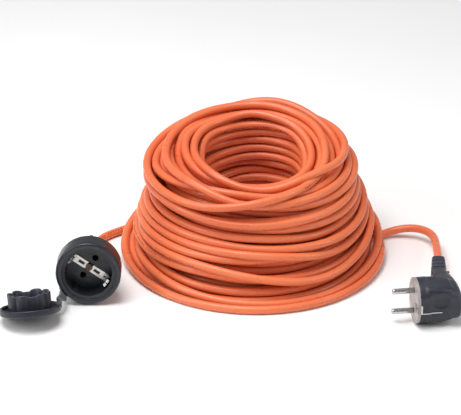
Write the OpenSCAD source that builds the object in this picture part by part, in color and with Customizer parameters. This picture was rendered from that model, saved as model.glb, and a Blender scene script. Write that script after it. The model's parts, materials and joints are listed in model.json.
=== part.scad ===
// Outdoor extension cord: a rubber coupler socket with a tethered splash cap, a heap of
// orange cable and an angled two-pin earthed plug.
// Millimetres, +Z up. The origin is on the ground, under the middle of the coupler and its
// open cap. The coupler's face looks along -Y, and the coil lies behind it to the right.

/* [Coupler] */
// Diameter of the coupler's head
head_d = 56; // [54:0.5:58]
// Length of the straight head, before the body tapers
head_len = 18; // [16:1:20]
// Diameter of the recess that takes the plug
recess_d = 40.8; // [40:0.2:41.6]
// Depth of the recess
recess_depth = 17.5; // [17:0.5:18]
// Angle of the line through the two pin holes, from the horizontal
socket_roll = 55; // [0:5:90]
// Upward tilt of the coupler's face
coupler_tilt = 5; // [0:1:8]

/* [Splash cap] */
// Outer diameter of the cap's plate
cap_d = 52.4; // [50:0.2:53]
// Height of the cap's outer skirt, with its plate
cap_h = 7.2; // [6:0.2:8]
// How far the lobed collar reaches into the recess
collar_reach = 10.6; // [8:0.2:11]
// Travel of the cap from in front of the face until it seats
press_travel = 12; // [12:0.5:14]
// Angle that the strap swings through between open and in front of the face
swing_angle = 131; // [100:1:135]

/* [Plug] */
// Diameter of the plug's face
plug_d = 39.2; // [38:0.2:39.6]
// Depth of the plug from its face to its back
plug_depth = 38; // [36:1:42]
// Turn of the pins from straight left towards the front
plug_turn = 8; // [0:1:20]
// Length of the pins
pin_len = 19; // [18.8:0.1:19.5]
// Diameter of the pins
pin_d = 4.8; // [4.7:0.02:4.86]
// Distance between the two pins
pin_pitch = 19; // [18.8:0.1:19.2]

/* [Cable] */
// Outer diameter of the cable
cable_d = 7.2; // [6.8:0.1:7.6]
// Outer diameter of one insulated core
core_d = 2.4; // [2:0.1:2.6]
// Radius of the coil over its loose outer loops
coil_r = 119; // [117:1:122]
// Height of the coil
coil_h = 112; // [108:1:116]
// Radius of the hole down the middle of the coil
coil_hole_r = 47; // [45:1:49]

/* [Hidden] */
$fn = 96;

black = "#2b2e36";
dark = "#1f2127";
orange = "#e8703f";
nickel = "#c9c8c6";
brass = "#b08d4a";
steel = "#8f8f90";
brown = "#6b3f22";
blue = "#2f62b0";
earth_green = "#6fae2e";

cable_r = cable_d / 2;
core_r = core_d / 2;
head_r = head_d / 2;
recess_r = recess_d / 2;
half_pitch = pin_pitch / 2;
gap = 0.3;          // air between pieces that move past each other
seat = 0.1;         // play between pieces that are assembled together

// Where the pieces stand on the ground
coupler_x = 23.35;
face_y = -17.25;
face_z = 29.6;
coil_at = [165.05, 90.75, 0];
plug_at = [300.05, -46.25, 19.8];

// Stations along the coupler, measured back from its face
insert_r = 23.3;
insert_floor = 3;
housing_r = 14.8;
housing_end = 35.5;
block_len = 5.5;
terminal_end = 41.5;
sheath_start = 46.5;
tail_start = 53;
shell_len = 58;
clamp_at = 49;
post_offset = 7.5;
relief_r = 8.8;
relief_start = 60;
relief_bend_r = 48;
relief_bend = 35;

function unit(v) = v / norm(v);

// A ring of points round a path's centre, square to the way it runs. The first point lies
// square to up, which must never run along the path.
function ring(at, along, r, sides, up) =
    let (side = unit(cross(along, up)), lift = cross(side, along))
    [for (k = [0:sides - 1]) at + r * (cos(360 * k / sides) * side + sin(360 * k / sides) * lift)];

// The way a path runs at one of its points
function heading(path, i) =
    unit(path[min(i + 1, len(path) - 1)] - path[max(i - 1, 0)]);

// One closed tube swept through a list of points
module tube(path, r, sides, up = [0, 0, 1]) {
    n = len(path);
    points = [for (i = [0:n - 1]) each ring(path[i], heading(path, i), r, sides, up)];
    walls = [for (i = [0:n - 2], k = [0:sides - 1])
        let (j = (k + 1) % sides)
        [i * sides + k, i * sides + j, (i + 1) * sides + j, (i + 1) * sides + k]];
    first = [for (k = [0:sides - 1]) sides - 1 - k];
    last = [for (k = [0:sides - 1]) (n - 1) * sides + k];
    polyhedron(points, concat([first], walls, [last]), convexity = 4);
}

// The outline of a bent strip of the given thickness along a list of 2-D points
function strip(path, t) =
    let (n = len(path),
         side = [for (i = [0:n - 1])
            let (d = path[min(i + 1, n - 1)] - path[max(i - 1, 0)]) [-d[1], d[0]] / norm(d)])
    concat([for (i = [0:n - 1]) path[i] + side[i] * t / 2],
           [for (i = [n - 1:-1:0]) path[i] - side[i] * t / 2]);

// Points of an arc, both ends included
function arc(centre, r, from, to, steps = 6) =
    [for (k = [0:steps]) let (a = from + (to - from) * k / steps)
        centre + r * [cos(a), sin(a)]];

// ---- Coupler ----

// x to the right, y up and z out of the face, from the middle of the coupler's face
module at_coupler() {
    translate([coupler_x, face_y, face_z]) rotate([90 - coupler_tilt, 0, 0]) children();
}

// The same, turned so that the pin holes lie along x
module at_socket() {
    at_coupler() rotate([0, 0, socket_roll]) children();
}

module pair(distance) {
    for (side = [-1, 1]) translate([side * distance, 0, 0]) children();
}

shell_outline = concat(
    [[insert_r + seat, 0]],
    arc([head_r - 1.6, -1.6], 1.6, 90, 0),
    arc([head_r - 3, -head_len], 3, 0, -50),
    [[22.2, -29], [18.2, -40], [17, -43], [14.5, -48], [12.6, -53]],
    arc([10.2, -56.8], 1.2, 0, -90),
    [[relief_r + seat, -shell_len], [relief_r + seat, -tail_start], [10.8, -tail_start],
     [10.8, -47], [15.2, -43], [15.2, -21.2], [insert_r + seat, -21.2]]);

module coupler_shell() {
    color(black) at_coupler() difference() {
        rotate_extrude() polygon(shell_outline);
        // finger grooves along the taper
        for (k = [0:11]) rotate([0, 0, 30 * k + 15]) translate([20.7, 0, -39])
            rotate([0, 22, 0]) cylinder(r = 1.5, h = 15, $fn = 24);
    }
}

module coupler_insert() {
    cup_end = recess_depth + insert_floor;
    color(dark) at_socket() difference() {
        union() {
            translate([0, 0, -cup_end]) cylinder(r = insert_r, h = cup_end - 0.6);
            translate([0, 0, -housing_end]) cylinder(r = housing_r, h = housing_end - cup_end);
            // posts and saddle that carry the cord clamp
            for (side = [-1, 1]) translate([-2, side * post_offset - 1.6, -51])
                cube([4, 3.2, 51 - housing_end + 1]);
            translate([-5.7, -post_offset, -51]) cube([1.9, 2 * post_offset, 4]);
            for (side = [-1, 1]) translate([-5.7, side * post_offset - 1.6, -51])
                cube([4, 3.2, 4]);
        }
        difference() {
            translate([0, 0, -recess_depth]) cylinder(r = recess_r, h = recess_depth + 1);
            // two key ribs, in line with the pin holes
            for (side = [-1, 1]) translate([side * (recess_r + 0.4) - 1.6, -2.2, -recess_depth])
                cube([3.2, 4.4, recess_depth - 3]);
        }
        // slots behind the two earth springs
        for (side = [-1, 1]) translate([-3.7, side * 19.5 - 2.2, -recess_depth])
            cube([7.4, 4.4, recess_depth - 2]);
        pair(half_pitch) translate([0, 0, -cup_end - 1])
            cylinder(r = 2.8, h = insert_floor + 2, $fn = 48);
        pair(half_pitch) translate([0, 0, -housing_end - 1])
            cylinder(r = 3.5, h = housing_end - cup_end + 1, $fn = 48);
        translate([0, 0, -housing_end - 1]) cylinder(r = 2, h = housing_end, $fn = 48);
    }
}

// A sprung sleeve for one pin, with a terminal block behind it
module contact(turn) {
    color(brass) at_socket() rotate([0, 0, turn]) translate([half_pitch, 0, 0]) difference() {
        union() {
            translate([0, 0, -housing_end - 0.5])
                cylinder(r = 3.4, h = housing_end - recess_depth - insert_floor - 0.2, $fn = 48);
            translate([-2.8, -2.8, -terminal_end]) cube([5.6, 5.6, block_len]);
        }
        translate([0, 0, -housing_end - 0.2]) cylinder(r = 2.45, h = 30, $fn = 48);
        translate([-4, -0.3, -housing_end + 3]) cube([4, 0.6, 20]);
        translate([0, 0, -terminal_end - 1]) cylinder(r = core_r + seat, h = 4, $fn = 24);
    }
}

module contact_live() {
    contact(0);
}

module contact_neutral() {
    contact(180);
}

// Cheese-headed screws against the outer sides of the two terminal blocks
module terminal_screws() {
    color(steel) at_socket() for (turn = [0, 180]) rotate([0, 0, turn])
        translate([half_pitch + 2.9, 0, -38.8]) rotate([0, 90, 0]) difference() {
            cylinder(r = 1.9, h = 1.8, $fn = 32);
            translate([-3, -0.3, 1.2]) cube([6, 0.6, 1]);
        }
}

bridge_z = -recess_depth + 0.1;
spring_path = [[14.5, bridge_z + 0.45], [16.6, bridge_z + 0.45], [18.4, bridge_z + 1.5],
               [19.6, -12.5], [19.4, -10.8], [17.2, -8.6], [16.9, -7.4], [17.6, -6.2],
               [19.4, -4.6]];

module earth_bridge() {
    color(nickel) at_socket() {
        difference() {
            translate([-2.4, -15, bridge_z]) cube([4.8, 30, 0.9]);
            for (side = [-1, 1]) translate([-0.9, side * 7.8 - 3.3, bridge_z - 1])
                cube([1.8, 6.6, 3]);
            translate([0, 0, bridge_z - 1]) cylinder(r = 2, h = 3, $fn = 48);
        }
        for (turn = [0, 180]) rotate([0, 0, turn]) rotate([90, 0, 90])
            translate([0, 0, -3.1]) linear_extrude(6.2) polygon(strip(spring_path, 0.8));
    }
}

module earth_screw() {
    color(steel) at_socket() difference() {
        union() {
            translate([0, 0, -40.8]) cylinder(r = 1.9, h = 25, $fn = 48);
            translate([0, 0, bridge_z + 0.95]) cylinder(r = 3, h = 1.5, $fn = 48);
        }
        translate([-4, -0.4, bridge_z + 1.7]) cube([8, 0.8, 2]);
    }
}

module earth_terminal() {
    color(brass) at_socket() difference() {
        translate([-3, -4.6, -terminal_end]) cube([6, 9.2, block_len]);
        translate([0, 0, -terminal_end - 1]) cylinder(r = 2, h = block_len + 2, $fn = 48);
        translate([0, 3.2, -terminal_end - 1]) cylinder(r = core_r + seat, h = 3.4, $fn = 24);
    }
}

// One core from its terminal to the end of the sheath
module coupler_core(start, end_angle) {
    from = [start[0], start[1], 0];
    sheath = 1.9 * [cos(end_angle), sin(end_angle), 0];
    tube([for (step = [[0, -40], [0, -41.9], [0.14, -43], [0.72, -44.6], [1, -45.7], [1, -46.4]])
            from * (1 - step[0]) + sheath * step[0] + [0, 0, step[1]]],
        core_r, 8, [-start[1], start[0], 0]);
}

module coupler_core_live() {
    color(brown) at_socket() coupler_core([half_pitch, 0], -20);
}

module coupler_core_neutral() {
    color(blue) at_socket() coupler_core([-half_pitch, 0], 200);
}

module coupler_core_earth() {
    color(earth_green) at_socket() coupler_core([0, 3.2], 90);
}

module coupler_sheath_end() {
    color(orange) at_coupler() translate([0, 0, -tail_start + 0.05])
        cylinder(r = cable_r, h = tail_start - sheath_start - 0.05, $fn = 48);
}

module coupler_clamp_bar() {
    color(dark) at_socket() difference() {
        translate([3.75, -8.2, -clamp_at - 2]) cube([2.8, 16.4, 4]);
        for (side = [-1, 1]) translate([3, side * 6.2, -clamp_at]) rotate([0, 90, 0])
            cylinder(r = 1.1, h = 5, $fn = 24);
    }
}

module coupler_clamp_screws() {
    color(steel) at_socket() for (side = [-1, 1]) translate([0, side * 6.2, -clamp_at])
        rotate([0, 90, 0]) {
            translate([0, 0, 2.1]) cylinder(r = 1, h = 5, $fn = 24);
            translate([0, 0, 6.6]) cylinder(r = 1.6, h = 0.8, $fn = 24);
        }
}

// Ribbed tail that droops from the shell towards the ground
module relief_ring(r, angle, width) {
    rotate([0, 0, angle]) rotate_extrude(angle = width)
        translate([relief_bend_r, 0]) circle(r = r, $fn = 48);
}

module coupler_strain_relief() {
    ribs = 6;
    step = relief_bend / ribs;
    lap = 0.6;      // each ring starts this many degrees inside the one before
    color(black) at_coupler() {
        translate([0, 0, -relief_start]) cylinder(r = relief_r, h = relief_start - tail_start);
        // a small moulding lug on top of the neck
        translate([-1.6, 0, -relief_start + 0.5]) cube([3.2, 12.6, 1.4]);
        // the bend, in rings that shrink towards the cable
        translate([0, -relief_bend_r, -relief_start]) rotate([0, -90, 0])
            rotate([0, 0, 90]) for (k = [0:ribs - 1]) {
                relief_ring(7.6 - 0.42 * k, k * step - lap, step * 0.62 + lap);
                relief_ring(6.5 - 0.42 * k, k * step - lap, step + lap);
            }
    }
}

// ---- Splash cap and its strap ----

strap_angle = 221;
strap_half = 8;
swing_axis = [-0.41, 0.55, -0.73];
swing_point = [-23.2, -18, 11.8];

lobes = 8;
lobe_swing = 1.3;
collar_mean = 17.4;
notch_w = 8.4;
function lobe_r(a) = collar_mean - lobe_swing * cos(lobes * (a - socket_roll));

module lobed(shrink) {
    polygon([for (k = [0:119]) let (a = 3 * k) (lobe_r(a) - shrink) * [cos(a), sin(a)]]);
}

// Cap seated on the coupler, in the coupler's frame
module cap_seated() {
    cap_r = cap_d / 2;
    rotate_extrude() polygon(concat(
        [[0, gap + cap_h - 2.2], [cap_r - 2, gap + cap_h - 2.2], [cap_r - 2, gap]],
        [[cap_r, gap]], arc([cap_r - 1.4, gap + cap_h - 1.4], 1.4, 0, 90),
        [[0, gap + cap_h]]));
    // collar with a valley and a notch where each earth spring stands
    difference() {
        translate([0, 0, -collar_reach]) linear_extrude(collar_reach + gap + cap_h - 2)
            difference() {
                lobed(0);
                lobed(1.6);
            }
        rotate([0, 0, socket_roll]) translate([-notch_w / 2, -head_r, -collar_reach - 1])
            cube([notch_w, head_d, collar_reach + 1 + gap]);
    }
}

// From the place in front of the face to the open cap's place on the ground
module swung_open() {
    translate(swing_point) rotate(a = -swing_angle, v = swing_axis) translate(-swing_point)
        translate([0, 0, press_travel]) children();
}

module sector(r1, r2, half, z1, z2) {
    translate([0, 0, z1]) rotate([0, 0, strap_angle - half]) rotate_extrude(angle = 2 * half)
        translate([r1, 0]) square([r2 - r1, z2 - z1]);
}

module cap() {
    color(black) at_coupler() swung_open() cap_seated();
}

// Tether moulded on the head, and the short strap that swings on it
module cap_tether() {
    color(black) at_coupler() sector(head_r, head_r + 2, strap_half, -9, 7);
}

module cap_strap() {
    color(black) at_coupler() swung_open()
        sector(cap_d / 2 + gap, cap_d / 2 + 2.3, strap_half - 1, 0.5, 6.5);
}

// ---- Cable ----

// Route of the cable from the coupler's tail to the coil, from the middle of the coil
coupler_route = [
    [-141.7, -21.5, 13.2], [-141.7, -16, 9], [-141.6, -9.5, 6], [-141.1, -2.5, 4.2],
    [-139.4, 5, 3.6], [-136, 12, 3.6], [-130.6, 18.5, 3.6], [-124.2, 24, 3.6],
    [-117, 29.5, 3.6], [-110, 35, 3.6]
];

// Route of the cable from the plug's neck to the coil, from the middle of the coil
plug_route = [
    [160.84, -64.24, 19.8], [161.2, -57, 19.3], [161.6, -48.5, 18.4], [161.9, -39.5, 17.1],
    [162, -29, 15.4], [162, -18, 13.9], [161.8, -7, 12.9], [159.6, 4.4, 12],
    [153.2, 14.2, 11.2], [143.5, 20.8, 9.8], [132, 23, 7.4], [120.6, 20.8, 5],
    [113.5, 16.6, 3.8], [107, 11.5, 3.6]
];

module lead(route) {
    color(orange) translate(coil_at) tube(route, cable_r, 10);
}

module cable_lead_coupler() {
    lead(coupler_route);
}

module cable_lead_plug() {
    lead(plug_route);
}

// The heap of turns as one solid of its outer shape
coil_outline = [
    [coil_hole_r + 4, 0], [coil_r, 0], [coil_r, 9], [coil_r - 7, 18], [coil_r - 11, 32],
    [coil_r - 15, 48], [coil_r - 20, 64], [coil_r - 26, 78], [coil_r - 30, 92],
    [coil_r - 34, 103], [coil_r - 43, coil_h - 2], [coil_r - 52, coil_h],
    [coil_hole_r + 12, coil_h], [coil_hole_r + 4, coil_h - 4], [coil_hole_r, coil_h - 14],
    [coil_hole_r, 60], [coil_hole_r + 4, 30]
];

module cable_coil() {
    color(orange) translate(coil_at) rotate_extrude() polygon(coil_outline);
}

// ---- Plug ----

// x towards the front, y up and z along the pins, from the middle of the plug's face
module at_plug() {
    translate(plug_at) rotate([90, 0, plug_turn - 90]) children();
}

flange_len = 11.5;
flat_x = 15.4;
neck_z = plug_depth - 6.2;
neck_end = 41;
relief_len = 28;
pin_tail_r = 2.15;
neck_lean = -2;
relief_lean = 11;

// z along the neck, 4 mm short of its end
module at_neck() {
    translate([0, 0, -neck_z]) rotate([0, -90 - neck_lean, 0]) translate([0, 0, neck_end - 4])
        children();
}

module rounded_block(x1, x2, half_y, z1, z2, r) {
    translate([0, 0, z1]) linear_extrude(z2 - z1) union() {
        translate([x1 + r, -half_y]) square([x2 - x1 - 2 * r, 2 * half_y]);
        translate([x1, r - half_y]) square([x2 - x1, 2 * (half_y - r)]);
        for (x = [x1 + r, x2 - r], y = [r - half_y, half_y - r])
            translate([x, y]) circle(r = r, $fn = 48);
    }
}

module plug_body() {
    color(black) at_plug() difference() {
        union() {
            intersection() {
                translate([0, 0, -flange_len]) cylinder(r = plug_d / 2, h = flange_len - 2.6);
                translate([-25, -25, -25]) cube([25 + flat_x + 1.2, 50, 50]);
            }
            rounded_block(-13.5, flat_x, 17.6, -plug_depth + 5, -flange_len + 0.5, 5);
            rounded_block(-10.5, flat_x - 3, 14, -plug_depth, -plug_depth + 5.5, 5);
            // neck towards the cable, square to the pins
            translate([0, 0, -neck_z]) rotate([0, -90 - neck_lean, 0])
                cylinder(r = 6.2, h = neck_end);
        }
        // room for the carrier, the pins' tails and the cores
        translate([-9.2, -13.8, -30]) cube([23.4, 27.6, 28]);
        translate([-9.2, -8, -34.6]) cube([18, 16, 8]);
        translate([0, 0, -neck_z]) rotate([0, -90 - neck_lean, 0]) translate([0, 0, 8])
            cylinder(r = cable_r + seat, h = neck_end, $fn = 48);
        // side channels for the earth clip
        for (side = [-1, 1]) translate([side * 17.6 - 1.3, -3.3, -15]) cube([2.6, 6.6, 16]);
        translate([-18.5, -3.3, -15]) cube([37, 6.6, 2.4]);
        at_neck() translate([0, 5, 0]) rotate([0, 90, 0])
            cylinder(r = 1, h = 18, center = true, $fn = 24);
    }
}

module plug_face() {
    color("#b9b2ae") at_plug() difference() {
        union() {
            translate([0, 0, -2.5]) cylinder(r = plug_d / 2, h = 2.5);
            translate([-9, -13.6, -12.4]) cube([23, 27.2, 10]);
        }
        for (side = [-1, 1]) translate([0, side * half_pitch, -20])
            cylinder(r = pin_d / 2 + seat, h = 30, $fn = 48);
        translate([10, 0, -20]) cylinder(r = 3.4, h = 30, $fn = 48);
        for (side = [-1, 1]) translate([side * 17.9 - 1, -3.3, -5]) cube([2, 6.6, 10]);
    }
}

module pin_shape() {
    color(nickel) {
        rotate_extrude($fn = 48) polygon(concat(
            [[0, -12.4], [pin_tail_r, -12.4], [pin_tail_r, 0.2], [pin_d / 2, 0.4]],
            [[pin_d / 2, pin_len - 1.6]], arc([pin_d / 2 - 1.6, pin_len - 1.6], 1.6, 0, 90),
            [[0, pin_len]]));
    }
}

module pin_live() {
    at_plug() translate([0, half_pitch, 0]) pin_shape();
}

module pin_neutral() {
    at_plug() translate([0, -half_pitch, 0]) pin_shape();
}

// Barrels that join each pin's tail to its core
module plug_crimps() {
    color(brass) at_plug() for (side = [-1, 1]) translate([0, side * half_pitch, -19.4])
        difference() {
            cylinder(r = 2, h = 6.95, $fn = 32);
            translate([0, 0, -1]) cylinder(r = core_r + seat, h = 5, $fn = 24);
        }
}

// One strip that runs along both sides of the plug and crosses behind the carrier
module plug_earth_clip() {
    color(nickel) at_plug() {
        translate([-17.9, -3, -13.6]) cube([35.8, 6, 0.9]);
        for (side = [-1, 1]) translate([side * 17.9 - 0.45, -3, -13.6]) cube([0.9, 6, 13.4]);
    }
}

module plug_earth_tube() {
    color(nickel) at_plug() translate([10, 0, -12.6]) difference() {
        cylinder(r = 3.3, h = 12.5, $fn = 48);
        translate([0, 0, 1]) cylinder(r = 2.45, h = 20, $fn = 48);
    }
}

module plug_core_live() {
    color(brown) at_plug() tube([[0, half_pitch, -16], [0, half_pitch, -20],
        [0, 8, -24.5], [-1, 4.5, -29], [-5, 2.1, -31.9], [-8.9, 1.9, -32.4]],
        core_r, 8, [1, 1, 0]);
}

module plug_core_neutral() {
    color(blue) at_plug() tube([[0, -half_pitch, -16], [0, -half_pitch, -20],
        [0, -8, -24.5], [-1, -4.5, -29], [-5, -2.1, -31.9], [-8.9, -1.9, -32.4]],
        core_r, 8, [1, -1, 0]);
}

module plug_core_earth() {
    color(earth_green) at_plug() tube([[3, 0, -13.7], [3, 0, -18], [1, 0, -23.5],
        [-4, 0, -28.2], [-8.7, 0, -29.4]], core_r, 8, [0, 1, 0]);
}

module plug_sheath_end() {
    color(orange) at_plug() translate([0, 0, -neck_z]) rotate([0, -90 - neck_lean, 0])
        translate([0, 0, 9.2]) cylinder(r = cable_r, h = neck_end - 9.2, $fn = 48);
}

// Pin across the neck that grips the sheath; its ends show as two small nubs
module plug_cord_clamp() {
    color(black) at_plug() at_neck() translate([0, 5, 0]) rotate([0, 90, 0])
        cylinder(r = 0.9, h = 16, center = true, $fn = 24);
}

module plug_strain_relief() {
    color(black) at_plug() at_neck() translate([0, 0, 4])
        rotate([0, neck_lean - relief_lean, 0]) rotate_extrude() polygon([
            [0, 0.2], [6.8, 0.2], [6.7, 6], [5.3, 6.2], [5.3, 8.2], [6.5, 8.4], [6.3, 13],
            [4.9, 13.2], [4.9, 15.2], [6.1, 15.4], [5.9, 20], [4.6, 20.2], [4.6, 22.2],
            [5.8, 22.4], [5.6, relief_len], [0, relief_len]]);
}

coupler_shell();
coupler_insert();
contact_live();
contact_neutral();
terminal_screws();
earth_bridge();
earth_screw();
earth_terminal();
coupler_core_live();
coupler_core_neutral();
coupler_core_earth();
coupler_sheath_end();
coupler_clamp_bar();
coupler_clamp_screws();
coupler_strain_relief();
cap_tether();
cap_strap();
cap();
cable_lead_coupler();
cable_coil();
cable_lead_plug();
plug_body();
plug_face();
pin_live();
pin_neutral();
plug_crimps();
plug_earth_clip();
plug_earth_tube();
plug_core_live();
plug_core_neutral();
plug_core_earth();
plug_sheath_end();
plug_cord_clamp();
plug_strain_relief();
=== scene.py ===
import json
import math

import bpy
import numpy as np
from mathutils import Matrix, Vector


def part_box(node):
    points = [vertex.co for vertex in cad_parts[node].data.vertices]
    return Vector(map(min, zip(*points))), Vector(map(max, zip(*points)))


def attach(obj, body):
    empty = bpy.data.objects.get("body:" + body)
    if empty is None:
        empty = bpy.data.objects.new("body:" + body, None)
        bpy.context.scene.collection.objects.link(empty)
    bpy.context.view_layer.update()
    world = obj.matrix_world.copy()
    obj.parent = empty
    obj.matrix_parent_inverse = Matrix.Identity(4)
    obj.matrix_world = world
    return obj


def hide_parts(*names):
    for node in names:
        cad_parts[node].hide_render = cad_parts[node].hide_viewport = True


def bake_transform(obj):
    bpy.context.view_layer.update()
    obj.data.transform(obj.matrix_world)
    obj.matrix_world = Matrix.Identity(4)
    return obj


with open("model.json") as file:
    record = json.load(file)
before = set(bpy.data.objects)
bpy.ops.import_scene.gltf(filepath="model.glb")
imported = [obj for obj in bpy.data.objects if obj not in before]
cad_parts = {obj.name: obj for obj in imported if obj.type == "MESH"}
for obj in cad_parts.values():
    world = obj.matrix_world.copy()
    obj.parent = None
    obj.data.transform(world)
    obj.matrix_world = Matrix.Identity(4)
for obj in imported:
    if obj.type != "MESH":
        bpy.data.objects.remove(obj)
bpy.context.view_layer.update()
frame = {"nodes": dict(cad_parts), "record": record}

MM = 0.001
MOUNTS = {m["name"]: m for m in frame["record"]["mounts"]}
JOINTS = {j["name"]: j for j in frame["record"]["behaviour"]["joints"]}


# ---- Frames of the coupler, its cap and the plug ----

def basis(origin, x, y, z):
    """The matrix that takes local x, y, z to these directions at origin."""
    m = Matrix((x, y, z)).transposed().to_4x4()
    m.translation = origin
    return m


def mount_point(name):
    return Vector(MOUNTS[name]["pos_m"])


def mount_axis(name):
    return Vector(MOUNTS[name]["axis"]).normalized()


UP = Vector((0, 0, 1))
RIGHT = Vector((1, 0, 0))
BORE_DEPTH = 28.4 * MM      # from the coupler's face to the middle of its contact bores
PIN_MIDDLE = 8.9 * MM       # from the plug's face to the middle of its pins

out_axis = mount_axis("socket_live")
face_at = (mount_point("socket_live") + mount_point("socket_neutral")) / 2 + out_axis * BORE_DEPTH
COUPLER = basis(face_at, RIGHT, out_axis.cross(RIGHT), out_axis)
pin_line = (mount_point("socket_live") - mount_point("socket_neutral")).normalized()
SOCKET = basis(face_at, pin_line, out_axis.cross(pin_line), out_axis)

pin_axis = mount_axis("plug_pin_live")
plug_at = (mount_point("plug_pin_live") + mount_point("plug_pin_neutral")) / 2
plug_at = plug_at - pin_axis * PIN_MIDDLE
PLUG = basis(plug_at, UP.cross(pin_axis), UP, pin_axis)

swing, press = JOINTS["cap_swing"], JOINTS["cap_press"]
hinge_at = Vector(swing["pos_m"])
opened = Matrix.Rotation(-math.radians(swing["range_deg"][1]), 4, Vector(swing["axis"]))
PRESS_TRAVEL = press["range_m"][1]
CAP = (Matrix.Translation(hinge_at) @ opened @ Matrix.Translation(-hinge_at)
       @ Matrix.Translation(out_axis * PRESS_TRAVEL) @ COUPLER)

coil_low, coil_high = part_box("cable_coil")
COIL_AT = np.array([(coil_low[0] + coil_high[0]) / 2, (coil_low[1] + coil_high[1]) / 2, 0.0])


# ---- Camera ----

def make_camera():
    """Looks along +Y and down, as the object is seen on its ground."""
    distance = 2.383
    down = math.radians(26)
    ahead = Vector((0, math.cos(down), -math.sin(down)))
    above = Vector((0, math.sin(down), math.cos(down)))
    across, rise = 20.1 * MM, -36.2 * MM         # the coil's foot in the camera's view
    data = bpy.data.cameras.new("camera")
    data.sensor_width = 36
    data.lens = 207.7223                         # mm, a long lens
    data.clip_start, data.clip_end = 0.1, 20
    camera = bpy.data.objects.new("camera", data)
    bpy.context.scene.collection.objects.link(camera)
    foot = Vector(COIL_AT)
    camera.matrix_world = basis(foot - ahead * distance - RIGHT * across - above * rise,
                                RIGHT, above, -ahead)
    bpy.context.scene.camera = camera


make_camera()


# ---- Mesh helpers ----

def add_object(name, verts, faces, matrix=None, smooth=True):
    """A mesh object whose points are given in a local frame, in metres."""
    mesh = bpy.data.meshes.new(name)
    pts = np.asarray(verts, float)
    if matrix is not None:
        m = np.array(matrix)
        pts = pts @ m[:3, :3].T + m[:3, 3]
    mesh.from_pydata(pts.tolist(), [], [list(map(int, f)) for f in faces])
    mesh.validate()
    mesh.polygons.foreach_set("use_smooth", [smooth] * len(mesh.polygons))
    obj = bpy.data.objects.new(name, mesh)
    bpy.context.scene.collection.objects.link(obj)
    return obj


def loft(rings, closed=False):
    """Points and faces of a skin through rings of equal length; open ends get a cap."""
    n = len(rings[0])
    verts = np.concatenate([np.asarray(r, float) for r in rings])
    faces = []
    for i in range(len(rings) if closed else len(rings) - 1):
        a, b = i * n, (i + 1) % len(rings) * n
        for k in range(n):
            j = (k + 1) % n
            faces.append((a + k, a + j, b + j, b + k))
    if not closed:
        faces.append(tuple(range(n - 1, -1, -1)))
        faces.append(tuple((len(rings) - 1) * n + k for k in range(n)))
    return verts, faces


def lathe(profile, segments, shape=None):
    """Turns a closed profile of (radius, z) in mm about z. shape(r, z, angle) may change r."""
    rings = []
    for k in range(segments):
        a = 2 * math.pi * k / segments
        ring = []
        for r, z in profile:
            rr = shape(r, z, a) if shape else r
            ring.append((rr * math.cos(a) * MM, rr * math.sin(a) * MM, z * MM))
        rings.append(ring)
    return loft(rings, closed=True)


def arc(cx, cy, r, start, end, steps):
    """Points of a circular arc in degrees, both ends included."""
    return [(cx + r * math.cos(math.radians(start + (end - start) * k / steps)),
             cy + r * math.sin(math.radians(start + (end - start) * k / steps)))
            for k in range(steps + 1)]


def superellipse(half_x, half_y, power, steps=48):
    """A closed rounded outline; a higher power is squarer."""
    t = np.arange(steps) * 2 * math.pi / steps
    c, s = np.cos(t), np.sin(t)
    return np.c_[half_x * np.sign(c) * np.abs(c) ** (2 / power),
                 half_y * np.sign(s) * np.abs(s) ** (2 / power)]


def bevel(obj, width, segments=2):
    mod = obj.modifiers.new("bevel", "BEVEL")
    mod.width = width
    mod.segments = segments
    mod.limit_method = "ANGLE"
    mod.angle_limit = math.radians(35)


def apply_modifiers(obj):
    """Replaces the object's mesh with what its modifiers make of it."""
    graph = bpy.context.evaluated_depsgraph_get()
    mesh = bpy.data.meshes.new_from_object(obj.evaluated_get(graph))
    obj.modifiers.clear()
    obj.data = mesh
    obj.data.polygons.foreach_set("use_smooth", [True] * len(mesh.polygons))


def points_of(obj):
    pts = np.empty(len(obj.data.vertices) * 3)
    obj.data.vertices.foreach_get("co", pts)
    return pts.reshape(-1, 3)


def move_points(obj, pts):
    obj.data.vertices.foreach_set("co", np.asarray(pts, float).ravel())
    obj.data.update()


# ---- The cable's path ----

CABLE_D = 7.2 * MM
CABLE_R = CABLE_D / 2

# Route of the cable from the coupler's tail to the coil, from the middle of the coil
COUPLER_ROUTE = [
    (-.1417, -.0215, .0132), (-.1417, -.016, .009), (-.1416, -.0095, .006),
    (-.1411, -.0025, .0042), (-.1394, .005, .0036), (-.136, .012, .0036),
    (-.1306, .0185, .0036), (-.1242, .024, .0036), (-.117, .0295, .0036), (-.110, .035, .0036)]

# Route of the cable from the plug's neck to the coil, from the middle of the coil
PLUG_ROUTE = [
    (.16084, -.06424, .0198), (.1612, -.057, .0193), (.1616, -.0485, .0184),
    (.1619, -.0395, .0171), (.162, -.029, .0154), (.162, -.018, .0139), (.1618, -.007, .0129),
    (.1596, .0044, .012), (.1532, .0142, .0112), (.1435, .0208, .0098), (.132, .023, .0074),
    (.1206, .0208, .005), (.1135, .0166, .0038), (.107, .0115, .0036)]

# The last stretches under the heap's edge, where each lead bends into its first turn
COUPLER_ENTRY = [(-.1035, .0415, .0036), (-.0975, .049, .0036), (-.091, .0575, .0036)]
PLUG_ENTRY = [(x * MM, y * MM, CABLE_R) for x, y in arc(88.5, 35, 30, 300, 180, 7)]
PLUG_ENTRY += [(.0577, .046, .0036), (.0532, .056, .0036), (.045, .0641, .0036)]

SLICES = 72                         # planes through the middle, for one turn
STEP = 2 * math.pi / SLICES
SHIFTS = np.arange(-5, 5.01, 0.5) * MM      # how far a turn may move to sink into a valley

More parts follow.
